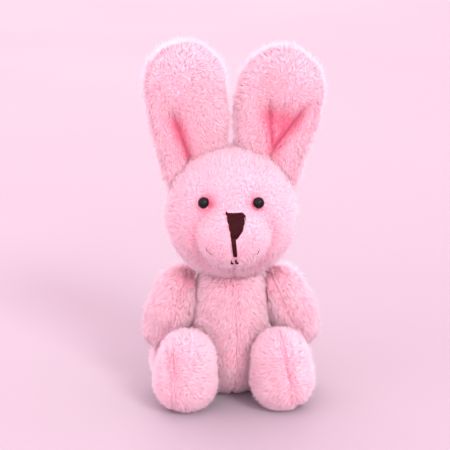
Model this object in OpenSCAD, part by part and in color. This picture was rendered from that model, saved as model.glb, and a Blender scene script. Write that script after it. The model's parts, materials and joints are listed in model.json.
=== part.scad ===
// Small seated plush rabbit with a turning head and swinging arms and legs.
// Millimetres, +Z up. The rabbit faces -Y, so its own left side is at +X.
// The origin is on the ground, under the middle of the rabbit.
// Every soft part is a cloth skin of sewn panels around a filling. The solids are the skin
// without its pile. Limbs and head turn on plastic discs, whose pins pass into the body.

/* [Cloth] */
// Thickness of the plush cloth, without its pile
cloth = 1.0; // [0.6:0.1:1.4]
// Gap between the cloth and the filling
filling_gap = 0.1; // [0.05:0.05:0.3]
// Thickness of embroidered thread on the cloth
thread = 0.8; // [0.4:0.1:1.2]

/* [Body] */
// Radius of the seat end of the body
seat_r = 15; // [14:0.1:15]
// Radius of the chest
chest_r = 11.5; // [11.2:0.1:11.8]
// Height of the chest's centre
chest_z = 33; // [32.8:0.1:33.4]
// Height of the joint between body and head
neck_z = 44; // [43.8:0.1:44.2]

/* [Head] */
// Width of the head
head_width = 39; // [38:0.5:40]
// Depth and height of the head, without the muzzle
head_depth = 36.8; // [36.4:0.1:37]
// Height of the head's centre
head_z = 62; // [61:0.5:63]
// Radius of the muzzle
muzzle_r = 10; // [9:0.5:11]
// Diameter of an eye bead
eye_d = 3.8; // [3:0.1:4.5]
// Distance between the eyes
eye_spacing = 17.4; // [16:0.2:19]
// How far the eyes sit to the rabbit's right of the middle
eye_offset = 0.9; // [0:0.1:1.5]
// Width of the embroidered nose
nose_width = 5.4; // [4:0.1:6]
// Height of the embroidered nose
nose_height = 7.6; // [6:0.1:8.5]

/* [Ears] */
// Length of an ear, from the middle of its root to the tip
ear_length = 43; // [36:0.5:44]
// Radius of the round end of an ear
ear_tip_r = 11.5; // [10:0.5:12]
// Radius of the root of an ear
ear_root_r = 7.5; // [6:0.5:8]
// Thickness of one ear panel with its layer of filling
ear_panel = 2.2; // [1.6:0.1:2.6]
// Sideways lean of an ear
ear_lean = 12; // [8:1:14]

/* [Arms] */
// Radius of an arm
arm_r = 5.6; // [5:0.1:5.7]
// Drop from the shoulder to the middle of the paw
arm_drop = 12.5; // [10:0.5:12.5]
// Spread of the paw away from the shoulder
arm_spread = 5.5; // [5:0.1:7.5]

/* [Legs] */
// Radius of the foot
foot_r = 9.5; // [9:0.1:9.5]
// Height of the foot from heel to toe
foot_height = 26; // [23:0.5:26]
// Distance of the foot's middle from the middle of the rabbit
foot_x = 16; // [16:0.1:17]
// Radius of the thigh
thigh_r = 5.6; // [5:0.1:5.6]

/* [Joints] */
// Radius of a joint pin
pin_r = 1.2; // [1:0.1:1.4]
// Radius of the disc in a limb
disc_r = 3.0; // [2.6:0.1:3.0]
// Thickness of each disc and washer
disc_t = 1.0; // [0.8:0.1:1.0]
// Radial clearance of a pin in its hole
pin_clearance = 0.08; // [0.02:0.01:0.1]

/* [Hidden] */

$fn = 72;
LEFT = 1;
RIGHT = -1;
huge = 100; // half the side of a block used to cut or keep a region
pink = "#f6a8c4";
deep_pink = "#ee86ad";
dark_brown = "#2b1512";
white = "#eceae6";

// Body: the seat is cut flat by the ground and the chest is cut flat under the neck.
body_y = 2;
seat_z = seat_r - 0.8;
neck_gap = 0.3;

// Head and muzzle.
head_y = -2;
head_centre = [0, head_y, head_z];
head_r = head_depth / 2;
head_flat = head_width / 2 - head_r; // half the length of the straight part across the head
muzzle_centre = [0, head_y - 12.5, head_z - 3.5];
muzzle_flat = 0.8;
gusset_half = 6.5;
brow_z = head_z + 6;
nape_z = head_z - 12;

// Eyes, on the surface of the head.
eye_rise = 8;
eye_stand_off = 0.2;
eye_stem_r = 0.6;
eye_stem = 4.5;
eye_washer_r = 1.8;

// Nose and mouth, as seen from the front.
nose_bottom_z = head_z - 2;
philtrum = [1.2, 6.2];
corner_stitch = [3, 0.9];

// Ears, which stand on top of the head.
ear_root = [9.5, 2, head_z + 14];
ear_tilt_back = 3;

// Arms hang from the shoulders, with the pivots on one line along X.
shoulder = [12 + arm_r, body_y + 0.5, chest_z + 2];
paw = shoulder + [arm_spread, 0, -arm_drop];

// Legs: thighs run forward from the hips to upright feet that rest on the ground.
hip = [seat_r + thigh_r + 0.2, body_y + 1, 10];
foot_y = body_y - 19.2;
heel = [foot_x, foot_y, foot_r];
toe = [foot_x, foot_y, foot_height - foot_r];
thigh_end = [foot_x + 3.3, foot_y + 3, 11.5];

// Tail, which reaches as far back as the feet reach forward.
tail_r = 6;
tail = [0, foot_r - foot_y - tail_r, 9];

// Joint hardware. In a joint's own frame +Z points out of the limb into the body,
// and z = 0 is on the outer face of the limb's cloth.
bore_r = pin_r + pin_clearance;
washer_r = disc_r - 0.3;
press = 0.05; // interference of a lock washer on its pin
pocket_gap = 0.2;
filling_inset = cloth + filling_gap; // from the outer form of a part to its filling

/* ---- General shapes ---- */

// Outline of two circles on the Y axis, the second one length away, with their tangents.
module two_circle_outline(r_first, r_second, length) {
    lean = asin((r_first - r_second) / length);
    first = [r_first * cos(lean), r_first * sin(lean)];
    second = [r_second * cos(lean), length + r_second * sin(lean)];
    circle(r_first);
    translate([0, length]) circle(r_second);
    polygon([first, second, [-second[0], second[1]], [-first[0], first[1]]]);
}

// Solid of two balls on the Z axis joined by a cone. Its seam is turned away from the planes
// and holes that cut it.
module ball_cone(r_first, r_second, length) {
    rotate(45)
        rotate_extrude()
            intersection() {
                two_circle_outline(r_first, r_second, length);
                translate([0, -huge]) square(2 * huge);
            }
}

// Places its children at one point, with their +Z towards another.
module towards(from, to) {
    way = to - from;
    translate(from)
        rotate([0, acos(way[2] / norm(way)), atan2(way[1], way[0])])
            children();
}

module ball_cone_between(from, to, r_from, r_to) {
    towards(from, to) ball_cone(r_from, r_to, norm(to - from));
}

// Ball stretched along X by twice half_length.
module across_ball(r, half_length) {
    ball_cone_between([-half_length, 0, 0], [half_length, 0, 0], r, r);
}

// Keeps the half of its children on one side of the plane x = 0.
module half_space(side) {
    intersection() {
        children();
        translate([side * huge, 0, 0]) cube(2 * huge, center = true);
    }
}

// Shapes are drawn for the left side, and mirrored for the right.
module on_side(side) {
    mirror([side == RIGHT ? 1 : 0, 0, 0]) children();
}

/* ---- Joint frames and hardware ---- */

module at_shoulder() {
    translate([shoulder[0] - arm_r, shoulder[1], shoulder[2]]) rotate([0, -90, 0]) children();
}

module at_hip() {
    translate([hip[0] - thigh_r, hip[1], hip[2]]) rotate([0, -90, 0]) children();
}

module at_neck() {
    translate([0, body_y, neck_z + neck_gap / 2]) rotate([180, 0, 0]) children();
}

// Where a flat round plate meets the inside of a ball of cloth: the distance from the ball's
// centre, for a plate whose rim lies up to reach away from the ball's own axis.
function seat_of_plate(ball_r, reach) = sqrt(pow(ball_r - filling_inset, 2) - pow(reach, 2));

// Depth of the disc under the face of a limb with a round end.
function disc_depth(limb_r) = limb_r - seat_of_plate(limb_r, disc_r);

// Distance from a limb's face to the washer in the body, behind one of the body's two balls.
function washer_z(face, ball_r, ball_z) =
    face[0] - seat_of_plate(ball_r, washer_r + norm([face[1] - body_y, face[2] - ball_z]));

module joint_disc(depth, washer_at) {
    color(white) {
        translate([0, 0, -depth - disc_t]) cylinder(r = disc_r, h = disc_t);
        translate([0, 0, -depth - disc_t / 2]) cylinder(r = pin_r, h = depth + washer_at + 3 * disc_t);
    }
}

module joint_washer(washer_at) {
    color(white)
        translate([0, 0, washer_at])
            difference() {
                cylinder(r = washer_r, h = disc_t);
                translate([0, 0, -disc_t]) cylinder(r = bore_r, h = 3 * disc_t);
            }
}

module joint_lock(washer_at) {
    color(white)
        translate([0, 0, washer_at + disc_t])
            difference() {
                cylinder(r = pin_r + 1, h = disc_t);
                translate([0, 0, -disc_t]) cylinder(r = pin_r - press, h = 3 * disc_t);
            }
}

// The pin's hole through cloth, and the pockets that both ends need in the filling.
module pin_hole() {
    translate([0, 0, -2 * cloth]) cylinder(r = bore_r, h = 6 * cloth);
}

module disc_pocket(depth) {
    bottom = depth + disc_t + pocket_gap;
    translate([0, 0, -bottom]) cylinder(r = disc_r + pocket_gap, h = bottom);
}

module washer_pocket(washer_at) {
    cylinder(r = washer_r + pocket_gap, h = washer_at + 3 * disc_t + pocket_gap);
}

arm_disc_depth = disc_depth(arm_r);
leg_disc_depth = disc_depth(thigh_r);
neck_disc_depth = head_z - neck_z - neck_gap / 2 - seat_of_plate(head_r, disc_r + body_y - head_y);
shoulder_washer_z = washer_z(shoulder - [arm_r, 0, 0], chest_r, chest_z);
hip_washer_z = washer_z(hip - [thigh_r, 0, 0], seat_r, seat_z);
neck_washer_z = neck_gap + cloth;

/* ---- Body and tail ---- */

// Outer form of the body, drawn smaller by inset.
module body_form(inset = 0) {
    intersection() {
        translate([0, body_y, seat_z])
            ball_cone(seat_r - inset, chest_r - inset, chest_z - seat_z);
        translate([-huge, -huge, inset])
            cube([2 * huge, 2 * huge, neck_z - neck_gap / 2 - 2 * inset]);
    }
}

module body_panel(side) {
    color(pink)
        half_space(side)
            difference() {
                body_form();
                body_form(cloth);
                on_side(side) at_shoulder() pin_hole();
                on_side(side) at_hip() pin_hole();
                at_neck() pin_hole();
            }
}

module body_filling() {
    color(white)
        difference() {
            body_form(filling_inset);
            for (side = [LEFT, RIGHT]) {
                on_side(side) at_shoulder() washer_pocket(shoulder_washer_z);
                on_side(side) at_hip() washer_pocket(hip_washer_z);
            }
            at_neck() washer_pocket(neck_washer_z);
        }
}

module tail_cover() {
    color(pink)
        difference() {
            translate(tail) sphere(tail_r);
            translate(tail) sphere(tail_r - cloth);
            body_form();
        }
}

module tail_filling() {
    color(white)
        difference() {
            translate(tail) sphere(tail_r - filling_inset);
            body_form();
        }
}

/* ---- Head ---- */

// Outer form of the head, drawn smaller by inset.
module head_form(inset = 0) {
    intersection() {
        union() {
            translate(head_centre) across_ball(head_r - inset, head_flat);
            translate(muzzle_centre) across_ball(muzzle_r - inset, muzzle_flat);
        }
        translate([-huge, -huge, neck_z + neck_gap / 2 + inset]) cube(2 * huge);
    }
}

// How far forward the surface of the head is, at some distance across and at eye height.
function eye_y(x) = head_y - sqrt(pow(head_r, 2) - pow(abs(x) - head_flat, 2) - pow(eye_rise, 2));

// Places its children on an eye, with +Z square into the head.
module at_eye(side) {
    x = side * eye_spacing / 2 - eye_offset;
    towards([x, eye_y(x), head_z + eye_rise], [side * head_flat, head_y, head_z])
        children();
}

module eye_stem_hole() {
    translate([0, 0, -eye_d / 4])
        cylinder(r = eye_stem_r + pin_clearance, h = eye_stem + eye_d / 4 + pocket_gap);
}

module eye_washer(extra = 0) {
    translate([0, 0, 2 * cloth - extra])
        cylinder(r = eye_washer_r + extra, h = cloth + 2 * extra);
}

// The cloth of the head as one skin, before it is cut into panels.
module head_skin() {
    difference() {
        head_form();
        head_form(cloth);
        at_neck() pin_hole();
        for (side = [LEFT, RIGHT]) at_eye(side) eye_stem_hole();
    }
}

// The gusset runs from the top of the nose over the crown to the nape.
module gusset_region() {
    translate([-gusset_half, -huge, brow_z]) cube([2 * gusset_half, 2 * huge, huge]);
    translate([-gusset_half, 0, nape_z]) cube([2 * gusset_half, huge, huge]);
}

module head_panel(side) {
    color(pink)
        difference() {
            half_space(side) head_skin();
            gusset_region();
        }
}

module head_gusset() {
    color(pink)
        intersection() {
            head_skin();
            gusset_region();
        }
}

module head_filling() {
    color(white)
        difference() {
            head_form(filling_inset);
            at_neck() disc_pocket(neck_disc_depth);
            for (side = [LEFT, RIGHT])
                at_eye(side) {
                    eye_stem_hole();
                    eye_washer(pocket_gap);
                }
        }
}

module eye(side) {
    color("black")
        at_eye(side) {
            translate([0, 0, -eye_stand_off])
                intersection() {
                    sphere(eye_d / 2);
                    translate([0, 0, -huge]) cube(2 * huge, center = true);
                }
            translate([0, 0, -eye_d / 4]) cylinder(r = eye_stem_r, h = eye_stem + eye_d / 4);
        }
}

module eye_washers() {
    color(white)
        for (side = [LEFT, RIGHT])
            at_eye(side)
                difference() {
                    eye_washer();
                    eye_stem_hole();
                }
}

// Raises a flat figure, drawn as seen from the front, as thread on the front of the head.
module embroider() {
    color(dark_brown)
        intersection() {
            difference() {
                head_form(-thread);
                head_form();
            }
            translate([0, head_y - muzzle_r, 0]) rotate([90, 0, 0]) linear_extrude(huge) children();
        }
}

module nose_embroidery() {
    half = nose_width / 2;
    embroider()
        translate([0, nose_bottom_z])
            polygon([
                [-half, nose_height], [half, nose_height], [half, nose_height - 3],
                [philtrum[0] / 2, 0], [-philtrum[0] / 2, 0], [-half, nose_height - 2],
            ]);
}

module mouth_stitches() {
    embroider() {
        translate([-philtrum[0] / 2, nose_bottom_z - philtrum[1]]) square(philtrum);
        for (side = [LEFT, RIGHT])
            translate([side * 6.5, nose_bottom_z - 5])
                rotate(side * 50)
                    square(corner_stitch, center = true);
    }
}

/* ---- Ears ---- */

module ear_panel_shape(side, front) {
    color(front ? deep_pink : pink)
        difference() {
            on_side(side)
                translate(ear_root)
                    rotate([-ear_tilt_back, ear_lean, 0])
                        translate([0, front ? 0 : ear_panel, 0])
                            rotate([90, 0, 0])
                                linear_extrude(ear_panel)
                                    two_circle_outline(ear_root_r, ear_tip_r, ear_length - ear_tip_r);
            head_form();
        }
}

/* ---- Arms ---- */

module arm_form(inset = 0) {
    ball_cone_between(shoulder, paw, arm_r - inset, arm_r - inset);
}

// The two panels meet on a plane that holds the middle of the arm.
module arm_panel(side, outer) {
    color(pink)
        on_side(side)
            difference() {
                intersection() {
                    arm_form();
                    towards(shoulder, paw)
                        translate([(outer ? -1 : 1) * huge, 0, 0])
                            cube(2 * huge, center = true);
                }
                arm_form(cloth);
                at_shoulder() pin_hole();
            }
}

module arm_filling(side) {
    color(white)
        on_side(side)
            difference() {
                arm_form(filling_inset);
                at_shoulder() disc_pocket(arm_disc_depth);
            }
}

/* ---- Legs ---- */

module leg_form(inset = 0) {
    ball_cone_between(heel, toe, foot_r - inset, foot_r - inset);
    ball_cone_between(hip, thigh_end, thigh_r - inset, thigh_r - inset);
}

// The two panels meet on an upright plane through the hip and the foot.
module leg_panel(side, outer) {
    seam_turn = atan2(hip[1] - foot_y, hip[0] - foot_x);
    color(pink)
        on_side(side)
            difference() {
                intersection() {
                    leg_form();
                    translate([foot_x, foot_y, 0])
                        rotate(seam_turn)
                            translate([0, (outer ? -1 : 1) * huge, 0])
                                cube(2 * huge, center = true);
                }
                leg_form(cloth);
                at_hip() pin_hole();
            }
}

module leg_filling(side) {
    color(white)
        on_side(side)
            difference() {
                leg_form(filling_inset);
                at_hip() disc_pocket(leg_disc_depth);
            }
}

/* ---- Nodes ---- */

body_panel(LEFT);  // body_left_panel
body_panel(RIGHT);  // body_right_panel
body_filling();
tail_cover();
tail_filling();

head_panel(LEFT);  // head_left_panel
head_panel(RIGHT);  // head_right_panel
head_gusset();
head_filling();
ear_panel_shape(LEFT, true);  // ear_left_front
ear_panel_shape(LEFT, false);  // ear_left_back
ear_panel_shape(RIGHT, true);  // ear_right_front
ear_panel_shape(RIGHT, false);  // ear_right_back
eye(LEFT);  // eye_left
eye(RIGHT);  // eye_right
eye_washers();
nose_embroidery();
mouth_stitches();

arm_panel(LEFT, true);  // arm_left_outer
arm_panel(LEFT, false);  // arm_left_inner
arm_filling(LEFT);  // arm_left_filling
arm_panel(RIGHT, true);  // arm_right_outer
arm_panel(RIGHT, false);  // arm_right_inner
arm_filling(RIGHT);  // arm_right_filling

leg_panel(LEFT, true);  // leg_left_outer
leg_panel(LEFT, false);  // leg_left_inner
leg_filling(LEFT);  // leg_left_filling
leg_panel(RIGHT, true);  // leg_right_outer
leg_panel(RIGHT, false);  // leg_right_inner
leg_filling(RIGHT);  // leg_right_filling

on_side(LEFT) at_shoulder() joint_disc(arm_disc_depth, shoulder_washer_z);  // shoulder_left_disc
on_side(LEFT) at_shoulder() joint_washer(shoulder_washer_z);  // shoulder_left_washer
on_side(LEFT) at_shoulder() joint_lock(shoulder_washer_z);  // shoulder_left_lock
on_side(RIGHT) at_shoulder() joint_disc(arm_disc_depth, shoulder_washer_z);  // shoulder_right_disc
on_side(RIGHT) at_shoulder() joint_washer(shoulder_washer_z);  // shoulder_right_washer
on_side(RIGHT) at_shoulder() joint_lock(shoulder_washer_z);  // shoulder_right_lock

on_side(LEFT) at_hip() joint_disc(leg_disc_depth, hip_washer_z);  // hip_left_disc
on_side(LEFT) at_hip() joint_washer(hip_washer_z);  // hip_left_washer
on_side(LEFT) at_hip() joint_lock(hip_washer_z);  // hip_left_lock
on_side(RIGHT) at_hip() joint_disc(leg_disc_depth, hip_washer_z);  // hip_right_disc
on_side(RIGHT) at_hip() joint_washer(hip_washer_z);  // hip_right_washer
on_side(RIGHT) at_hip() joint_lock(hip_washer_z);  // hip_right_lock

at_neck() joint_disc(neck_disc_depth, neck_washer_z);  // neck_disc
at_neck() joint_washer(neck_washer_z);  // neck_washer
at_neck() joint_lock(neck_washer_z);  // neck_lock
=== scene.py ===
import json
import math

import bmesh
import bpy
import numpy as np
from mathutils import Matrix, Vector
from mathutils.bvhtree import BVHTree
from mathutils.kdtree import KDTree


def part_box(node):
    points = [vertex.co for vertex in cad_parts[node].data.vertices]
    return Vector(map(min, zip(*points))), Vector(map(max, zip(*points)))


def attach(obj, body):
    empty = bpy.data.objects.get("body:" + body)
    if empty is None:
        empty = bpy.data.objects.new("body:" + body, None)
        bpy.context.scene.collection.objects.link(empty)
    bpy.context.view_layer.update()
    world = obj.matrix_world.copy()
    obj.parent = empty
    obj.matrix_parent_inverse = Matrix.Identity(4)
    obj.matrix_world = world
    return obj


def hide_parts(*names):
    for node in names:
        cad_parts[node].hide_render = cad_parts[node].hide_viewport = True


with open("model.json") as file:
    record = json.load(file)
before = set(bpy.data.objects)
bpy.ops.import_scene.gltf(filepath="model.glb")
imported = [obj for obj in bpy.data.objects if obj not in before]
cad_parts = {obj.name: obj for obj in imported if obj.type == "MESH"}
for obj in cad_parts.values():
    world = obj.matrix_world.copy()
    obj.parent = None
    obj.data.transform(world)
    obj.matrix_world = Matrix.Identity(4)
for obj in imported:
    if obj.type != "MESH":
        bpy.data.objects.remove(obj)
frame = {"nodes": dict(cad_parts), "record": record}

# Shapes are worked out in millimetres and made in metres. The rabbit faces -Y, and its own
# left side is at +X, on the right of the picture.
MM = 0.001
UP = np.array([0.0, 0.0, 1.0])
FORWARD = np.array([0.0, -1.0, 0.0])
LEFT, RIGHT = 1, -1
SIDE_NAME = {LEFT: "left", RIGHT: "right"}

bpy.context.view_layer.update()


# ---- Places, from the frame ----

def box(*nodes):
    """Lowest and highest corner of some CAD nodes together, in millimetres."""
    corners = np.array([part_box(node) for node in nodes]) / MM
    return corners[:, 0].min(axis=0), corners[:, 1].max(axis=0)


def joint_place(name):
    joint = next(j for j in frame["record"]["behaviour"]["joints"] if j["name"] == name)
    return np.array(joint["pos_m"]) / MM


head_low, head_high = box("head_left_panel", "head_right_panel", "head_gusset")
body_low, body_high = box("body_left_panel", "body_right_panel")
HEAD_HALF = np.array([head_high[0], 18.4, 18.4])
HEAD = np.array([0.0, head_high[1] - HEAD_HALF[1], head_high[2] - HEAD_HALF[2]])
MUZZLE_R = 10.0
MUZZLE = np.array([0.0, head_low[1] + MUZZLE_R, HEAD[2] - 3.5])
BODY_Y = (body_low[1] + body_high[1]) / 2
SEAT_R = body_high[0]
NECK_Z = joint_place("neck_turn")[2]


# ---- Shape functions: signed distances in millimetres, below zero inside ----

def size(vectors):
    return np.linalg.norm(vectors, axis=-1)


def unit(vectors):
    return vectors / np.maximum(size(vectors), 1e-9)[..., None]


def smooth_step(value, low, high):
    share = np.clip((value - low) / (high - low), 0.0, 1.0)
    return share * share * (3.0 - 2.0 * share)


def ball_cone(points, start, end, start_r, end_r):
    """Two balls joined by a cone."""
    way = end - start
    share = np.clip((points - start) @ way / (way @ way), 0.0, 1.0)
    middle = start + share[:, None] * way
    return size(points - middle) - (start_r + share * (end_r - start_r))


def egg(points, centre, half):
    """An ellipsoid."""
    near = size((points - centre) / half)
    slope = size((points - centre) / half**2)
    return near * (near - 1.0) / np.maximum(slope, 1e-9)


def melt(first, second, reach):
    """Union of two shapes with a fillet of the given reach."""
    share = np.clip(0.5 + 0.5 * (second - first) / reach, 0.0, 1.0)
    return second + (first - second) * share - reach * share * (1.0 - share)


def dent(points, centre, radius):
    """Depth, from 0 to 1, of a round soft dent."""
    return np.exp(-(size(points - centre) / radius) ** 2)


def groove(across, width):
    """Depth, from 0 to 1, of a sewn channel, at some distance across from its seam."""
    return np.exp(-(across / width) ** 2)


def crease(places, start, end, start_width, end_width):
    """Depth, from 0 to 1, of a fold along a line, which fades in from its start."""
    way = end - start
    share = np.clip((places - start) @ way / (way @ way), 0.0, 1.0)
    apart = size(places - start - share[:, None] * way)
    width = start_width + share * (end_width - start_width)
    return smooth_step(share, -0.15, 0.45) * np.exp(-(apart / width) ** 2)


# ---- Meshes ----

def new_object(name, vertices, faces):
    mesh = bpy.data.meshes.new(name)
    mesh.from_pydata((np.asarray(vertices) * MM).tolist(), [], [list(f) for f in faces])
    mesh.validate()
    mesh.polygons.foreach_set("use_smooth", np.ones(len(mesh.polygons), dtype=bool))
    piece = bpy.data.objects.new(name, mesh)
    bpy.context.scene.collection.objects.link(piece)
    return piece


def ball_directions(detail):
    """Unit directions and triangles of an evenly divided ball."""
    ball = bmesh.new()
    bmesh.ops.create_icosphere(ball, subdivisions=detail, radius=1.0)
    directions = np.array([v.co[:] for v in ball.verts])
    faces = [[v.index for v in f.verts] for f in ball.faces]
    ball.free()
    return directions, faces


def grow_skin(name, centre, distance, reach, detail=5):
    """Closed skin of a shape that every straight line from the centre leaves only once."""
    directions, faces = ball_directions(detail)
    low = np.zeros(len(directions))
    high = np.full(len(directions), float(reach))
    for _ in range(22):
        middle = (low + high) / 2
        inside = distance(centre + directions * middle[:, None]) < 0
        low = np.where(inside, middle, low)
        high = np.where(inside, high, middle)
    return new_object(name, centre + directions * low[:, None], faces)


def vertices_of(piece):
    flat = np.empty(len(piece.data.vertices) * 3)
    piece.data.vertices.foreach_get("co", flat)
    return flat.reshape(-1, 3) / MM


def normals_of(piece):
    flat = np.empty(len(piece.data.vertices) * 3)
    piece.data.vertices.foreach_get("normal", flat)
    return flat.reshape(-1, 3)


def move_vertices(piece, places):
    piece.data.vertices.foreach_set("co", (places * MM).ravel())
    piece.data.update()


def triangles_of(piece):
    piece.data.calc_loop_triangles()
    flat = np.empty(len(piece.data.loop_triangles) * 3, dtype=np.int32)
    piece.data.loop_triangles.foreach_get("vertices", flat)
    return flat.reshape(-1, 3)


# ---- Sewing and stuffing ----

PRESSURE = 4.0
SIMULATION_SCALE = 10  # Cloth behaves best on things the size of a cushion.
SIMULATION_FRAMES = 20
CLOTH = 1.2


def swell(skin, most):
    """Blows a skin up by the pressure of its filling, moving no point further than most."""
    scene = bpy.context.scene
    start = vertices_of(skin)
    model = skin.copy()
    model.data = skin.data.copy()
    move_vertices(model, start * SIMULATION_SCALE)
    scene.collection.objects.link(model)
    cloth = model.modifiers.new("filling_pressure", "CLOTH")
    cloth.settings.use_pressure = True
    cloth.settings.uniform_pressure_force = PRESSURE
    cloth.settings.effector_weights.gravity = 0.0
    cloth.point_cache.frame_start = 1
    cloth.point_cache.frame_end = SIMULATION_FRAMES
    for number in range(1, SIMULATION_FRAMES + 1):
        scene.frame_set(number)
    swollen = vertices_of(model.evaluated_get(bpy.context.evaluated_depsgraph_get()))
    moved = swollen / SIMULATION_SCALE - start
    moved *= np.minimum(1.0, most / np.maximum(size(moved), 1e-9))[:, None]
    move_vertices(skin, start + moved)
    scene.frame_set(1)
    bpy.data.objects.remove(model)


def refine(skin):
    """One subdivision, applied."""
    skin.modifiers.new("refine", "SUBSURF").levels = 1
    finer = bpy.data.meshes.new_from_object(skin.evaluated_get(bpy.context.evaluated_depsgraph_get()))
    skin.modifiers.clear()
    skin.data = finer
    finer.polygons.foreach_set("use_smooth", np.ones(len(finer.polygons), dtype=bool))


def press_in(skin, depth, way=None):
    """Sinks seams and folds into a skin, against its normals or along one given way."""
    places = vertices_of(skin)
    inward = -normals_of(skin) if way is None else way
    move_vertices(skin, places + depth(places, normals_of(skin))[:, None] * inward)


# ---- Materials ----

def principled(name, roughness):
    """A new material, with its node tree and its shader."""
    material = bpy.data.materials.new(name)
    material.use_nodes = True
    shader = material.node_tree.nodes["Principled BSDF"]
    shader.inputs["Roughness"].default_value = roughness
    return material, material.node_tree, shader


def noise(tree, scale, detail=2.0):
    place = tree.nodes.new("ShaderNodeTexCoord")
    texture = tree.nodes.new("ShaderNodeTexNoise")
    texture.inputs["Scale"].default_value = scale
    texture.inputs["Detail"].default_value = detail
    tree.links.new(place.outputs["Object"], texture.inputs["Vector"])
    return texture


def ramp(tree, value, stops):
    """Colours along a value, as (position, red, green, blue)."""
    node = tree.nodes.new("ShaderNodeValToRGB")
    elements = node.color_ramp.elements
    while len(elements) < len(stops):
        elements.new(0.5)
    for element, (position, *colour) in zip(elements, stops):
        element.position = position
        element.color = (*colour, 1.0)
    tree.links.new(value, node.inputs["Fac"])
    return node.outputs["Color"]


def multiply(tree, first, second):
    node = tree.nodes.new("ShaderNodeMix")
    node.data_type = "RGBA"
    node.blend_type = "MULTIPLY"
    node.inputs["Factor"].default_value = 1.0
    tree.links.new(first, node.inputs["A"])
    tree.links.new(second, node.inputs["B"])
    return node.outputs["Result"]


def bump(tree, shader, height, strength, distance):
    node = tree.nodes.new("ShaderNodeBump")
    node.inputs["Strength"].default_value = strength
    node.inputs["Distance"].default_value = distance
    tree.links.new(height, node.inputs["Height"])
    tree.links.new(node.outputs["Normal"], shader.inputs["Normal"])


def fur_material(name, folded, root, middle, tip):
    """Pile that gets lighter from root to tip, with painted shade deep in the pile at the roots and
    deeper painted shade in folds, in soft patches of slightly different dye.
    """
    material, tree, shader = principled(name, 0.62)
    shader.inputs["Specular IOR Level"].default_value = 0.35
    shader.inputs["Sheen Weight"].default_value = 0.25
    shader.inputs["Sheen Roughness"].default_value = 0.5
    shader.inputs["Sheen Tint"].default_value = (1.0, 0.85, 0.9, 1.0)
    along = tree.nodes.new("ShaderNodeAttribute")
    along.attribute_name = "along"
    pile = ramp(
        tree, along.outputs["Fac"], [(0.14, *folded), (0.32, *root), (0.6, *middle), (1.0, *tip)])
    dye = noise(tree, 160.0)
    patches = ramp(tree, dye.outputs["Fac"], [(0.3, 1.0, 0.93, 0.95), (0.7, 1.0, 1.0, 1.0)])
    tree.links.new(multiply(tree, pile, patches), shader.inputs["Base Color"])
    return material


def backing_material():
    """Knitted cloth at the foot of the pile: pink, deepened as painted shade under the pile."""
    material, tree, shader = principled("plush_backing", 0.9)
    knit = noise(tree, 1800.0)
    shade = ramp(tree, knit.outputs["Fac"], [(0.3, 1.0, 0.50, 0.62), (0.7, 1.0, 0.60, 0.70)])
    tree.links.new(shade, shader.inputs["Base Color"])
    bump(tree, shader, knit.outputs["Fac"], 0.4, 0.0002)
    return material


def filling_material():
    material, tree, shader = principled("fibre_filling", 0.95)
    fibres = noise(tree, 900.0, 6.0)
    shade = ramp(tree, fibres.outputs["Fac"], [(0.3, 0.72, 0.71, 0.69), (0.7, 0.92, 0.91, 0.9)])
    tree.links.new(shade, shader.inputs["Base Color"])
    bump(tree, shader, fibres.outputs["Fac"], 0.8, 0.0005)
    return material


def bead_material():
    material, tree, shader = principled("black_bead", 0.06)
    shader.inputs["Specular IOR Level"].default_value = 0.15
    glass = noise(tree, 700.0)
    shade = ramp(tree, glass.outputs["Fac"], [(0.3, 0.003, 0.003, 0.004), (0.7, 0.009, 0.007, 0.008)])
    tree.links.new(shade, shader.inputs["Base Color"])
    return material


def thread_material():
    material, tree, shader = principled("brown_thread", 0.6)
    shader.inputs["Specular IOR Level"].default_value = 0.1
    fibres = noise(tree, 2600.0, 4.0)
    shade = ramp(tree, fibres.outputs["Fac"], [(0.35, 0.014, 0.001, 0.002), (0.65, 0.040, 0.005, 0.007)])
    tree.links.new(shade, shader.inputs["Base Color"])
    bump(tree, shader, fibres.outputs["Fac"], 0.5, 0.0001)
    return material


def joint_plastic_material():
    material, tree, shader = principled("moulded_plastic", 0.45)
    flow = noise(tree, 300.0, 3.0)
    shade = ramp(tree, flow.outputs["Fac"], [(0.3, 0.80, 0.79, 0.76), (0.7, 0.88, 0.87, 0.84)])
    tree.links.new(shade, shader.inputs["Base Color"])
    bump(tree, shader, flow.outputs["Fac"], 0.15, 0.0002)
    return material


# Colours of the pile: painted shade in folds, painted shade at the roots, then the middle and the tip.
PINK_FUR = fur_material(
    "pink_pile", (1.0, 0.26, 0.42), (1.0, 0.64, 0.75), (1.0, 0.77, 0.85), (1.0, 0.86, 0.92))
BACKING = backing_material()
FILLING = filling_material()
BEAD = bead_material()
THREAD = thread_material()
PLASTIC = joint_plastic_material()


# ---- Fur ----

FUR_PER_MM2 = 17.0
STRANDS_PER_PIECE = 19000
ROOT_R, MIDDLE_R = 0.055, 0.048
TUFT_AREA = 2.2


def sample_skin(skin, count, rng):
    """Random points spread evenly over a skin, with their normals."""
    corners = vertices_of(skin)
    normals = normals_of(skin)
    triangles = triangles_of(skin)
    a, b, c = (corners[triangles[:, i]] for i in range(3))
    areas = size(np.cross(b - a, c - a)) / 2
    chosen = rng.choice(len(triangles), count, p=areas / areas.sum())
    u, v = rng.random(count), rng.random(count)
    over = u + v > 1
    u[over], v[over] = 1 - u[over], 1 - v[over]
    shares = np.stack([1 - u - v, u, v], axis=1)[:, :, None]
    points = (corners[triangles[chosen]] * shares).sum(axis=1)
    leaning = unit((normals[triangles[chosen]] * shares).sum(axis=1))
    return points, leaning


def skin_area(skin):
    corners = vertices_of(skin)[triangles_of(skin)]
    return size(np.cross(corners[:, 1] - corners[:, 0], corners[:, 2] - corners[:, 0])).sum() / 2


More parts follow.
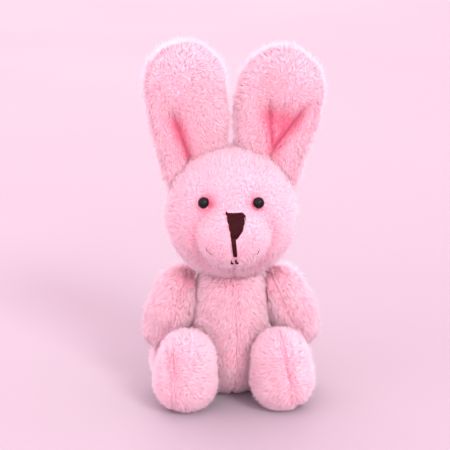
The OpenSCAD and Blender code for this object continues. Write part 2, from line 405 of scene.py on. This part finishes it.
def wander(points, wavelength):
    """Smooth waves of direction over a surface."""
    waves = points * (2 * math.pi / wavelength)
    x, y, z = waves.T
    return np.stack([
        np.sin(y + 1.3 * z + 0.4) + 0.5 * np.sin(2.1 * z - x),
        np.sin(z - 0.8 * x + 1.9) + 0.5 * np.sin(1.7 * x + y),
        np.sin(x + 0.9 * y + 3.1) + 0.5 * np.sin(2.3 * y - z),
    ], axis=1)


def nearest_tuft(points, centres):
    tree = KDTree(len(centres))
    for index, centre in enumerate(centres):
        tree.insert(centre, index)
    tree.balance()
    return np.array([tree.find(point)[1] for point in points])


def strand_paths(points, normals, along_skin, lengths, rng):
    """Root, middle and tip of each strand, gathered into tufts."""
    count = len(points)
    loose = unit(rng.normal(size=(count, 3)))
    guard = np.where(rng.random(count) < 0.08, 1.4, 1.0)
    reach = (lengths * guard * rng.uniform(0.75, 1.1, count))[:, None]
    middle = points + reach * (0.46 * normals + 0.26 * along_skin + 0.05 * loose)
    tip = points + reach * (0.70 * normals + 0.66 * along_skin + 0.13 * loose)

    tufts = max(8, int(count / FUR_PER_MM2 / TUFT_AREA))
    leaders = rng.choice(count, tufts, replace=False)
    own = nearest_tuft(points, points[leaders])
    lean = 0.06 * unit(rng.normal(size=(tufts, 3))) * lengths[leaders][:, None]
    pull = rng.uniform(0.0, 0.22, count)[:, None]
    tip += pull * (tip[leaders][own] - tip) + lean[own]
    middle += 0.4 * pull * (middle[leaders][own] - middle) + 0.3 * lean[own]
    return points - 0.15 * normals, middle, tip


def strand_mesh(name, root, middle, tip, light, rng):
    """Closed three-sided tapered strands in one mesh, each with its own cell of the UV map."""
    count = len(root)
    aim = unit(tip - root)
    first = unit(np.cross(aim, rng.normal(size=(count, 3))))
    second = np.cross(aim, first)
    vertices = np.empty((count, 7, 3))
    for corner in range(3):
        turn = corner * 2 * math.pi / 3
        out = first * math.cos(turn) + second * math.sin(turn)
        vertices[:, corner] = root + ROOT_R * out
        vertices[:, 3 + corner] = middle + MIDDLE_R * out
    vertices[:, 6] = tip

    faces = [[0, 1, 4, 3], [1, 2, 5, 4], [2, 0, 3, 5], [3, 4, 6], [4, 5, 6], [5, 3, 6], [2, 1, 0]]
    corners = np.array(sum(faces, []))
    sizes = np.array([len(face) for face in faces])
    loops = (corners[None, :] + 7 * np.arange(count)[:, None]).ravel()
    totals = np.tile(sizes, count)

    mesh = bpy.data.meshes.new(name)
    mesh.vertices.add(count * 7)
    mesh.vertices.foreach_set("co", (vertices * MM).ravel())
    mesh.loops.add(len(loops))
    mesh.loops.foreach_set("vertex_index", loops.astype(np.int32))
    mesh.polygons.add(len(totals))
    starts = np.concatenate([[0], np.cumsum(totals)[:-1]])
    mesh.polygons.foreach_set("loop_start", starts.astype(np.int32))
    mesh.polygons.foreach_set("use_smooth", np.ones(len(totals), dtype=bool))
    mesh.update(calc_edges=True)

    # How light each point is on the pile's colour ramp: dark at the root, as painted shade deep in the
    # pile, and lightest at the tip.
    along = mesh.attributes.new("along", "FLOAT", "POINT")
    height = light[:, None] * np.array([0.3, 0.3, 0.3, 0.6, 0.6, 0.6, 1.0])
    along.data.foreach_set("value", height.ravel().astype(np.float32))

    cells = math.ceil(math.sqrt(count))
    cell = np.arange(count)
    in_cell = np.array([(u, v) for v in (0.1, 0.5) for u in (0.15, 0.5, 0.85)] + [(0.5, 0.9)])
    corner_uv = in_cell[corners][None] + np.stack([cell % cells, cell // cells], axis=1)[:, None]
    layer = mesh.uv_layers.new(name="OFBake")
    layer.data.foreach_set("uv", (corner_uv / cells).astype(np.float32).ravel())

    piece = bpy.data.objects.new(name, mesh)
    bpy.context.scene.collection.objects.link(piece)
    return piece


def grow_fur(skin, body, comb, pile, fold, seed):
    """Fur over a skin. comb gives the way the pile lies, pile its length, 0 where bare, and
    fold how deep the skin is folded, where the pile is shorter and painted shade turns it deep pink."""
    rng = np.random.default_rng(seed)
    count = int(skin_area(skin) * FUR_PER_MM2)
    points, normals = sample_skin(skin, count, rng)
    folded = np.clip(fold(points, normals), 0.0, 1.0)
    lengths = pile(points, normals) * (1.0 - 0.35 * folded)
    kept = lengths > 0.05
    points, normals, lengths, folded = points[kept], normals[kept], lengths[kept], folded[kept]
    way = unit(unit(comb(points, normals)) + 0.16 * wander(points, 14.0))
    outward = (way * normals).sum(axis=1)[:, None]
    along_skin = way - outward * normals
    # Where the pile parts it stands up, and where it meets it lies down over itself.
    along_skin /= np.maximum(size(along_skin)[:, None], np.where(outward < 0, 0.45, 0.05))
    root, middle, tip = strand_paths(points, normals, along_skin, lengths, rng)
    tip[:, 2] = np.maximum(tip[:, 2], 0.1)
    middle[:, 2] = np.maximum(middle[:, 2], 0.1)

    # Painted shade: strands in folds, seams and eye sockets are made darker; the rest differ at random
    # in tone.
    light = (1.0 - 0.84 * folded) * rng.uniform(0.85, 1.0, len(root))
    shuffled = rng.permutation(len(root))
    parts = math.ceil(len(root) / STRANDS_PER_PIECE)
    base = skin.name.replace("_skin", "")
    for number, chosen in enumerate(np.array_split(shuffled, parts), start=1):
        piece = strand_mesh(
            f"{base}_fur_{number}", root[chosen], middle[chosen], tip[chosen], light[chosen], rng)
        piece.data.materials.append(PINK_FUR)
        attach(piece, body)


def finish_skin(skin, body, fill, *nodes):
    skin.data.materials.append(BACKING)
    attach(skin, body)
    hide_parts(*nodes)


def stuff(skin, body, node):
    """A filling just inside a finished skin, in place of the plain one."""
    filling = bpy.data.objects.new(node.replace("_filling", "_stuffing"), skin.data.copy())
    move_vertices(filling, vertices_of(skin) - CLOTH * normals_of(skin))
    filling.data.materials.clear()
    filling.data.materials.append(FILLING)
    bpy.context.scene.collection.objects.link(filling)
    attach(filling, body)
    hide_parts(node)


# ---- Head ----

eye_boxes = {side: box(f"eye_{SIDE_NAME[side]}") for side in (LEFT, RIGHT)}
eye_places = {
    side: np.array([(low[0] + high[0]) / 2, low[1] + 1.2, (low[2] + high[2]) / 2])
    for side, (low, high) in eye_boxes.items()
}
nose_low, nose_high = box("nose_embroidery")
mouth_low = box("mouth_stitches")[0]
NOSE_TIP = np.array([0.0, nose_low[1], nose_low[2]])


def head_form(points):
    skull = egg(points, HEAD + 1.2 * UP, HEAD_HALF + np.array([1.0, -0.7, 2.0]))
    muzzle = egg(points, MUZZLE + 0.5 * FORWARD, np.array([MUZZLE_R + 1.4, MUZZLE_R, MUZZLE_R - 0.3]))
    return melt(skull, muzzle, 1.2) + 0.3


# How deep the eye sockets, the chin's seam and a ring round the muzzle are sunk; the fur is darkened
# there as painted shade.
def head_folds(points, normals):
    sockets = sum(
        dent(points, eye_places[side] + [-0.8 * side, 0.0, 0.6], 3.8) for side in (LEFT, RIGHT))
    below_mouth = smooth_step(mouth_low[2] - points[:, 2], -1.0, 1.0)
    chin = groove(points[:, 0], 0.8) * (points[:, 1] < HEAD[1]) * below_mouth
    around_muzzle = groove(size((points - MUZZLE)[:, [0, 2]]) - MUZZLE_R - 2.4, 1.6)
    around_muzzle *= (points[:, 1] < HEAD[1]) * smooth_step(np.abs(points[:, 0]), 4.0, 9.0)
    return 1.1 * sockets + 0.5 * chin + 0.45 * around_muzzle


def head_comb(points, normals):
    behind = smooth_step(points[:, 1], HEAD[1] - 4, HEAD[1] + 10)[:, None]
    under = smooth_step(HEAD[2] - points[:, 2], 4.0, 12.0)[:, None]
    return unit(points - (NOSE_TIP + 3.0 * UP)) + (0.25 - 1.6 * behind - 0.5 * under) * UP


def head_pile(points, normals):
    length = np.full(len(points), 3.2)
    length *= 0.56 + 0.44 * smooth_step(points[:, 1], MUZZLE[1] + 2, HEAD[1])
    length *= 1.0 + 0.45 * smooth_step(HEAD[2] - points[:, 2], 6.0, 14.0)
    for side in (LEFT, RIGHT):
        length *= 0.5 + 0.5 * smooth_step(size(points - eye_places[side]), 1.7, 3.4)
    bare = np.interp(points[:, 2], [nose_low[2], nose_high[2]], [0.5, 2.5])
    beside = np.maximum(np.abs(points[:, 0]) - bare, 0.0)
    above = np.maximum(np.maximum(points[:, 2] - nose_high[2], mouth_low[2] - points[:, 2]), 0.0)
    in_front = points[:, 1] < HEAD[1]
    return np.where(in_front, length * smooth_step(np.hypot(beside, above), -0.4, 1.2), length)


head_skin = grow_skin("head_skin", np.array([0.0, HEAD[1] - 5, HEAD[2] - 1]), head_form, 45)
swell(head_skin, 0.4)
refine(head_skin)
press_in(head_skin, head_folds)
finish_skin(head_skin, "head", 0.8, "head_left_panel", "head_right_panel", "head_gusset")
stuff(head_skin, "head", "head_filling")
grow_fur(head_skin, "head", head_comb, head_pile, head_folds, seed=11)


# ---- Nose and mouth, in satin stitch ----

STITCH_R = 0.28
CORNER_STITCH_R = 0.09
face = BVHTree.FromPolygons(
    vertices_of(head_skin).tolist(), [list(polygon.vertices) for polygon in head_skin.data.polygons])


def on_face(x, z, out):
    """The point of the face seen at x and z, raised by out."""
    place, normal, _, _ = face.ray_cast(Vector((x, -100.0, z)), Vector((0.0, 1.0, 0.0)))
    return np.array(place) + out * np.array(normal)


def thread_tube(points, radius, sides=6):
    """Vertices and faces of a closed round thread through some points, tapered at both ends."""
    points = np.array(points)
    ways = unit(np.gradient(points, axis=0))
    vertices, faces = [], []
    for number, (point, way) in enumerate(zip(points, ways)):
        first = unit(np.cross(way, FORWARD))
        second = np.cross(way, first)
        own = radius * (0.45 if number in (0, len(points) - 1) else 1.0)
        for corner in range(sides):
            turn = 2 * math.pi * corner / sides
            vertices.append(point + own * (first * math.cos(turn) + second * math.sin(turn)))
    for ring in range(len(points) - 1):
        for corner in range(sides):
            low, next_low = ring * sides + corner, ring * sides + (corner + 1) % sides
            faces.append([low, next_low, next_low + sides, low + sides])
    faces.append(list(range(sides))[::-1])
    faces.append([(len(points) - 1) * sides + corner for corner in range(sides)])
    return vertices, faces


def stitches(name, runs, radius, *nodes):
    """One piece of thread for each run from (x, z) to (x, z), laid over the face."""
    vertices, faces = [], []
    for start, end, height in runs:
        path = []
        for share in np.linspace(0, 1, 9):
            x, z = np.array(start) * (1 - share) + np.array(end) * share
            path.append(on_face(x, z, height * math.sin(math.pi * share) ** 0.4))
        own_vertices, own_faces = thread_tube(path, radius)
        faces += [[index + len(vertices) for index in corners] for corners in own_faces]
        vertices += own_vertices
    piece = new_object(name, vertices, faces)
    piece.data.materials.append(THREAD)
    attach(piece, "head")
    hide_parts(*nodes)


nose_top, nose_bottom = nose_high[2], nose_low[2]
nose_half = (nose_high[0] - nose_low[0]) / 2
# The nose is a shield with a straight left edge and a right edge that bulges. The lower edge is
# given as x and height above the nose's foot, and the upper edge as x and drop from its top.
NOSE_LOWER_X = np.array([-0.9, -0.45, 0.2, 0.8, 1.15]) * nose_half
NOSE_LOWER_RISE = np.array([6.8, 0.0, 0.0, 2.0, 5.2])
NOSE_UPPER_X = np.array([-0.9, 0.95, 1.15]) * nose_half
NOSE_UPPER_DROP = np.array([0.0, 0.0, 1.2])


def nose_runs():
    """Upright threads side by side from the straight top to the shield's edge."""
    for number, x in enumerate(np.arange(NOSE_LOWER_X[0], NOSE_LOWER_X[-1], 1.4 * STITCH_R)):
        bottom = nose_bottom + np.interp(x, NOSE_LOWER_X, NOSE_LOWER_RISE)
        top = nose_top - np.interp(x, NOSE_UPPER_X, NOSE_UPPER_DROP) - 0.15 * (number % 2)
        yield (x, top), (x, bottom), 0.9


stitches("nose_satin", list(nose_runs()), STITCH_R, "nose_embroidery")

PHILTRUM_LENGTH = 6.2
philtrum_low = nose_bottom - PHILTRUM_LENGTH
mouth_runs = [
    ((x - 0.7, nose_bottom + 1.0), (0.6 * x + 0.1, philtrum_low), 0.9)
    for x in (-0.5, -0.16, 0.18, 0.52)
]
mouth_runs += [
    ((-1.3, philtrum_low - 1.0), (-0.9, philtrum_low - 1.9), 1.2),
    ((0.5, philtrum_low - 0.9), (1.2, philtrum_low - 1.7), 1.2),
]
corner_runs = [
    ((-8.8, philtrum_low + 3.0), (-6.4, philtrum_low + 0.7), 1.3),
    ((7.4, philtrum_low + 2.8), (6.0, philtrum_low + 0.6), 1.3),
]
stitches("mouth_thread", mouth_runs, STITCH_R, "mouth_stitches")
stitches("smile_corners", corner_runs, CORNER_STITCH_R, "mouth_stitches")


# ---- Ears ----

EAR_ROOT = np.array([11.4, 2.0, HEAD[2] + 13.0])
EAR_LEAN = {LEFT: math.radians(10), RIGHT: math.radians(7)}
EAR_LENGTH = 42.7
EAR_BURIED = 6.0
EAR_ROOT_HALF = 9.4
EAR_HALF = {LEFT: 12.8, RIGHT: 12.0}
EAR_THICK_FRONT, EAR_THICK_BACK = 4.2, 3.0
EAR_RISE = {LEFT: -1.5, RIGHT: 0.0}
# Folds on the front of each ear, as seen from the front: places across and up from the root,
# from the shallow end to the deep end, then the width and depth of the fold in millimetres.
# The rabbit's left ear is gathered into a V-shaped hollow, the right one into a single fold.
EAR_FOLDS = {
    LEFT: [((-3.6, 27.5), (0.6, 9.0), 3.2, 1.7, 3.6), ((10.5, 28.0), (1.2, 9.0), 2.4, 1.9, 4.2),
           ((3.4, 26.0), (0.8, 10.0), 5.5, 1.8, 2.4), ((0.9, 12.0), (-0.4, -2.0), 1.4, 1.4, 3.4)],
    RIGHT: [((-6.0, 25.0), (-2.0, 8.0), 2.6, 2.0, 3.0), ((-2.6, 11.0), (-0.6, -2.0), 1.8, 1.6, 3.2)],
}


def ear_frame(side):
    """Root of an ear, and its directions across, forward and along."""
    root = EAR_ROOT * np.array([side, 1, 1])
    along = np.array([side * math.sin(EAR_LEAN[side]), 0.05, math.cos(EAR_LEAN[side])])
    along = along / size(along)
    across = np.array([1.0, 0.0, 0.0]) - along[0] * along
    across = across / size(across)
    return root, across, np.cross(across, along), along


def ear_skin(side):
    """A plump pad, round at the tip and gathered at the root, with its edges turned forward."""
    root, across, forward, along = ear_frame(side)
    length = EAR_LENGTH + EAR_RISE[side]
    top = length - EAR_HALF[side]
    rings, corners = 64, 88
    eased = np.sin(np.linspace(0, math.pi / 2, rings))
    around = np.linspace(0, 2 * math.pi, corners, endpoint=False)
    spread, height = np.cos(around), np.sin(around)
    vertices = []
    for distance in -EAR_BURIED + (length + EAR_BURIED - 0.02) * eased:
        half = EAR_ROOT_HALF + (EAR_HALF[side] - EAR_ROOT_HALF) * smooth_step(distance, 0, 24)
        half -= 3.0 * (1 - smooth_step(distance, -EAR_BURIED, 2))
        beyond = max((distance - top) / EAR_HALF[side], 0.0)
        round_off = math.sqrt(max(1 - beyond**2, 0.0))
        half *= round_off
        thick = np.where(height > 0, EAR_THICK_FRONT, EAR_THICK_BACK) * round_off**0.7
        lift = np.sign(height) * np.abs(height) ** 0.7 * thick + 2.2 * spread**2 * round_off
        centre = root + along * distance
        vertices.append(centre + np.outer(half * spread, across) + np.outer(lift, forward))
    faces = []
    for ring in range(rings - 1):
        for corner in range(corners):
            following = (corner + 1) % corners
            low, high = ring * corners, (ring + 1) * corners
            faces.append([low + corner, high + corner, high + following, low + following])
    faces.append(list(range(corners)))
    faces.append([(rings - 1) * corners + corner for corner in range(corners)][::-1])
    return new_object(f"ear_{SIDE_NAME[side]}_skin", np.concatenate(vertices), faces)


def ear_rules(side):
    """Depth and painted shade of the folds, comb and pile of an ear."""
    root, across, forward, along = ear_frame(side)
    whirl = root + along * 29 + across * (-3.0 if side == RIGHT else 3.0)

    def folded(points, spread, depths):
        """The deepest of the folds at each point, each made wider by a factor, spread."""
        places = np.stack([(points - root) @ across, (points - root) @ along], axis=1)
        deepest = np.zeros(len(points))
        for depth, (start, end, start_width, end_width, _) in zip(depths, EAR_FOLDS[side]):
            widths = (spread * start_width, spread * end_width)
            line = crease(places, np.array(start), np.array(end), *widths)
            deepest = np.maximum(deepest, depth * line)
        return deepest

    def fold_depth(points, normals):
        depths = [fold[-1] for fold in EAR_FOLDS[side]]
        return folded(points, 1.0, depths) * smooth_step(normals @ forward, 0.0, 0.35)

    # Painted shade in and around the folds, wider than the folds themselves.
    def fold_shade(points, normals):
        alike = [1.0] * len(EAR_FOLDS[side])
        return folded(points, 1.7, alike) * smooth_step(normals @ forward, -0.2, 0.2)

    def comb(points, normals):
        front = smooth_step(normals @ forward, -0.3, 0.3)[:, None]
        return front * (unit(points - whirl) - 0.15 * along) + (1 - front) * along

    def pile(points, normals):
        rim = 1.0 - smooth_step(normals @ forward, 0.2, 0.8)
        height = (points - root) @ along
        return (2.4 + 1.5 * rim) * smooth_step(height, -6, -3)

    return fold_depth, fold_shade, comb, pile


for side in (LEFT, RIGHT):
    ear = ear_skin(side)
    fold_depth, fold_shade, ear_comb, ear_pile = ear_rules(side)
    swell(ear, 0.5)
    press_in(ear, fold_depth, way=-ear_frame(side)[2])
    finish_skin(ear, "head", 0.6, f"ear_{SIDE_NAME[side]}_front", f"ear_{SIDE_NAME[side]}_back")
    grow_fur(ear, "head", ear_comb, ear_pile, fold_shade, seed=21 + side)


# ---- Body and tail ----

BODY_MIDDLE = np.array([0.0, BODY_Y, 20.0])
BODY_LOW = np.array([0.0, BODY_Y, SEAT_R - 0.8])
BODY_HIGH = np.array([0.0, BODY_Y, 33.0])
CHEST_R = 11.5


def body_form(points):
    return ball_cone(points, BODY_LOW, BODY_HIGH, SEAT_R, CHEST_R) + 0.3


# Depth of the belly seam, pressed into the skin and darkened on the fur as painted shade.
def body_folds(points, normals):
    bow = 1.8 * np.sin(math.pi * np.clip(points[:, 2] / NECK_Z, 0, 1))
    seam_x = np.where(points[:, 1] < BODY_Y, bow, 0.0)
    return 0.6 * groove(points[:, 0] - seam_x, 0.6)


def body_comb(points, normals):
    sideways = np.clip((points[:, 0] - 1.0) / 5.0, -1, 1)[:, None] * np.array([1.0, 0.0, 0.0])
    return 0.6 * sideways - UP


def body_pile(points, normals):
    return np.where((points[:, 2] > 1.2) & (points[:, 2] < NECK_Z - 1.5), 2.8, 0.0)


def flatten(skin, low, high):
    """Presses a skin flat where it meets a level surface."""
    places = vertices_of(skin)
    places[:, 2] = np.clip(places[:, 2], low, high)
    move_vertices(skin, places)


body_skin = grow_skin("body_skin", BODY_MIDDLE, body_form, 40)
swell(body_skin, 0.4)
refine(body_skin)
press_in(body_skin, body_folds)
flatten(body_skin, 0.0, NECK_Z - 0.15)
finish_skin(body_skin, "torso", 0.7, "body_left_panel", "body_right_panel")
stuff(body_skin, "torso", "body_filling")
grow_fur(body_skin, "torso", body_comb, body_pile, body_folds, seed=31)

tail_low, tail_high = box("tail_cover")
TAIL_R = 6.0
TAIL = np.array([0.0, tail_high[1] - TAIL_R, (tail_low[2] + tail_high[2]) / 2])


def tail_form(points):
    return size(points - TAIL) - TAIL_R + 0.3


def no_folds(points, normals):
    return np.zeros(len(points))


def tail_comb(points, normals):
    return np.tile(-0.8 * FORWARD - 0.6 * UP, (len(points), 1))


def tail_pile(points, normals):
    return np.where(size(points - BODY_LOW) > SEAT_R, 2.9, 0.0)


tail_skin = grow_skin("tail_skin", TAIL, tail_form, 12, detail=4)
swell(tail_skin, 0.4)
refine(tail_skin)
finish_skin(tail_skin, "torso", 0.6, "tail_cover")
stuff(tail_skin, "torso", "tail_filling")
grow_fur(tail_skin, "torso", tail_comb, tail_pile, no_folds, seed=35)


# ---- Arms ----

ARM_R = 5.6
SHOULDER_R = 6.8


def flatten_side(skin, side, nearest):
    """Presses a skin flat where it lies against the body, at some distance from the middle."""
    places = vertices_of(skin)
    places[:, 0] = side * np.maximum(side * places[:, 0], nearest)
    move_vertices(skin, places)


def build_arm(side):
    name = SIDE_NAME[side]
    pivot = joint_place(f"shoulder_{name}_swing")
    low, high = box(f"arm_{name}_outer", f"arm_{name}_inner")
    reach = high[0] if side == LEFT else low[0]
    shoulder = np.array([pivot[0] + side * (SHOULDER_R - 2.0), pivot[1], pivot[2]])
    paw = np.array([reach - side * ARM_R, pivot[1], low[2] + ARM_R])
    elbow = 0.45 * shoulder + 0.55 * paw + np.array([0.0, -2.0, 0.0])
    paw = paw + np.array([-side * 0.6, -2.4, 0.0])

    def form(points):
        upper = ball_cone(points, shoulder, elbow, SHOULDER_R, ARM_R + 1.0)
        lower = ball_cone(points, elbow, paw, ARM_R + 1.0, ARM_R + 0.3)
        return melt(upper, lower, 2.0) + 0.3

    # Depth of the arm's seam, pressed into the skin and darkened on the fur as painted shade.
    def folds(points, normals):
        down = unit(paw - shoulder)
        across = np.cross(down, FORWARD)
        seam = groove((points - shoulder) @ across, 0.7) * (normals[:, 1] < 0)
        return 0.6 * seam

    def comb(points, normals):
        return unit(points - shoulder - np.array([-5.0 * side, 3.0, 6.0])) + 0.5 * unit(paw - shoulder)

    def pile(points, normals):
        return np.where(points[:, 0] * side > abs(pivot[0]) + 0.6, 3.1, 0.0)

    skin = grow_skin(f"arm_{name}_skin", elbow, form, 30)
    swell(skin, 0.4)
    refine(skin)
    press_in(skin, folds)
    flatten_side(skin, side, abs(pivot[0]) + 0.2)
    finish_skin(skin, f"arm_{name}", 0.7, f"arm_{name}_outer", f"arm_{name}_inner")
    stuff(skin, f"arm_{name}", f"arm_{name}_filling")
    grow_fur(skin, f"arm_{name}", comb, pile, folds, seed=41 + side)


# ---- Legs ----

FOOT_R = 9.5
THIGH_R = 5.6
# Where the seam of each sole runs, across from the middle of the foot, at its top and bottom.
SOLE_SEAM = {LEFT: (-1.0, 5.0), RIGHT: (-5.0, -3.6)}
SEAM_DEPTH = {LEFT: 0.8, RIGHT: 0.3}


def build_leg(side):
    name = SIDE_NAME[side]
    pivot = joint_place(f"hip_{name}_swing")
    low, high = box(f"leg_{name}_outer", f"leg_{name}_inner")
    foot_x = side * (abs(pivot[0]) + 0.8)
    heel = np.array([foot_x, low[1] + FOOT_R, low[2] + FOOT_R])
    toe = np.array([foot_x - side * 0.6, low[1] + FOOT_R, high[2] - FOOT_R + 1.2])
    hip = np.array([pivot[0] + side * THIGH_R, pivot[1], pivot[2]])
    knee = np.array([foot_x + side * 3.3, heel[1] + 3.0, 11.5])
    middle = np.array([foot_x + side * 2.0, heel[1] + 3.0, 11.0])

    def form(points):
        foot = ball_cone(points, heel, toe, FOOT_R, FOOT_R - 1.2)
        thigh = ball_cone(points, hip, knee, THIGH_R, THIGH_R)
        return melt(foot, thigh, 2.0) + 0.3

    def from_seam(points):
        top, bottom = SOLE_SEAM[side]
        share = np.clip((points[:, 2] - low[2]) / (high[2] - low[2]), 0.0, 1.0)
        return points[:, 0] - foot_x - bottom - share * (top - bottom)

    # Depth of the sole's seam, pressed into the skin and darkened on the fur as painted shade.
    def folds(points, normals):
        return SEAM_DEPTH[side] * groove(from_seam(points), 0.6) * smooth_step(-normals[:, 1], 0.0, 0.3)

    def comb(points, normals):
        sole = smooth_step(-normals[:, 1], 0.1, 0.8)[:, None]
        away = np.clip(from_seam(points) / 2.5, -1, 1)[:, None] * np.array([1.0, 0.0, 0.0])
        rise = ((points[:, 2] - heel[2]) / FOOT_R - 0.5)[:, None] * UP
        return sole * (0.9 * away + 0.6 * rise) - (1 - sole) * (0.8 * FORWARD - 0.35 * UP)

    def pile(points, normals):
        return np.where(points[:, 2] > 0.8, 2.6, 0.0)

    skin = grow_skin(f"leg_{name}_skin", middle, form, 45, detail=6)
    swell(skin, 0.4)
    press_in(skin, folds)
    flatten(skin, 0.0, high[2] + 1.0)
    finish_skin(skin, f"leg_{name}", 0.8, f"leg_{name}_outer", f"leg_{name}_inner")
    stuff(skin, f"leg_{name}", f"leg_{name}_filling")
    grow_fur(skin, f"leg_{name}", comb, pile, folds, seed=51 + side)


for side in (LEFT, RIGHT):
    build_arm(side)
    build_leg(side)


# ---- Materials of the CAD nodes that stay ----

SLOT_MATERIAL = {
    "filling": FILLING,
    "eye_bead": BEAD,
    "thread_brown": THREAD,
    "joint_plastic": PLASTIC,
}
node_slot = {part["node"]: part["material_slot"] for part in frame["record"]["subparts"]}
for node, kept in frame["nodes"].items():
    if node_slot[node] in SLOT_MATERIAL:
        kept.data.materials.clear()
        kept.data.materials.append(SLOT_MATERIAL[node_slot[node]])


# ---- Floor, light and camera ----

def build_floor():
    half = 1500
    corners = [(-half, -half, 0), (half, -half, 0), (half, half, 0), (-half, half, 0)]
    floor = new_object("floor", corners, [[0, 1, 2, 3]])
    material, tree, shader = principled("pale_floor", 0.6)
    clouds = noise(tree, 3.0)
    shade = ramp(tree, clouds.outputs["Fac"], [(0.3, 0.345, 0.31, 0.35), (0.7, 0.37, 0.34, 0.38)])
    tree.links.new(shade, shader.inputs["Base Color"])
    floor.data.materials.append(material)


def aimed(thing, place, target):
    thing.location = Vector(place) * MM
    way = Vector(target) - Vector(place)
    thing.rotation_euler = way.to_track_quat("-Z", "Y").to_euler()
    bpy.context.scene.collection.objects.link(thing)


def sun(name, place, softness, strength, colour):
    light = bpy.data.lights.new(name, "SUN")
    light.angle = math.radians(softness)
    light.energy = strength
    light.color = colour
    aimed(bpy.data.objects.new(name, light), place, (0, 0, 0))


def build_light():
    sun("key", (350, -600, 520), 18, 2.0, (1.0, 0.99, 0.98))
    sun("low", (60, -600, 60), 50, 1.0, (1.0, 0.80, 0.86))
    sun("fill", (-600, -450, 300), 60, 0.7, (1.0, 0.97, 0.98))
    sun("back", (-150, 520, 480), 50, 0.7, (1.0, 0.97, 0.98))
    world = bpy.data.worlds.new("studio")
    world.use_nodes = True
    background = world.node_tree.nodes["Background"]
    background.inputs["Color"].default_value = (1.0, 0.68, 0.79, 1.0)
    background.inputs["Strength"].default_value = 1.8
    bpy.context.scene.world = world


def build_camera():
    azimuth, elevation = math.radians(-3), math.radians(16)
    distance, picture_width = 520, 150
    target = Vector((-2.0, 0.0, 57.9))
    way = Vector((
        math.sin(azimuth) * math.cos(elevation),
        -math.cos(azimuth) * math.cos(elevation),
        math.sin(elevation),
    ))
    lens = bpy.data.cameras.new("camera")
    lens.sensor_width = 36
    lens.lens = 36 * distance / picture_width
    camera = bpy.data.objects.new("camera", lens)
    aimed(camera, target + way * distance, target)
    bpy.context.scene.camera = camera


build_floor()
build_light()
build_camera()
bpy.context.scene.view_settings.view_transform = "Standard"
bpy.context.scene.cycles.diffuse_bounces = 6
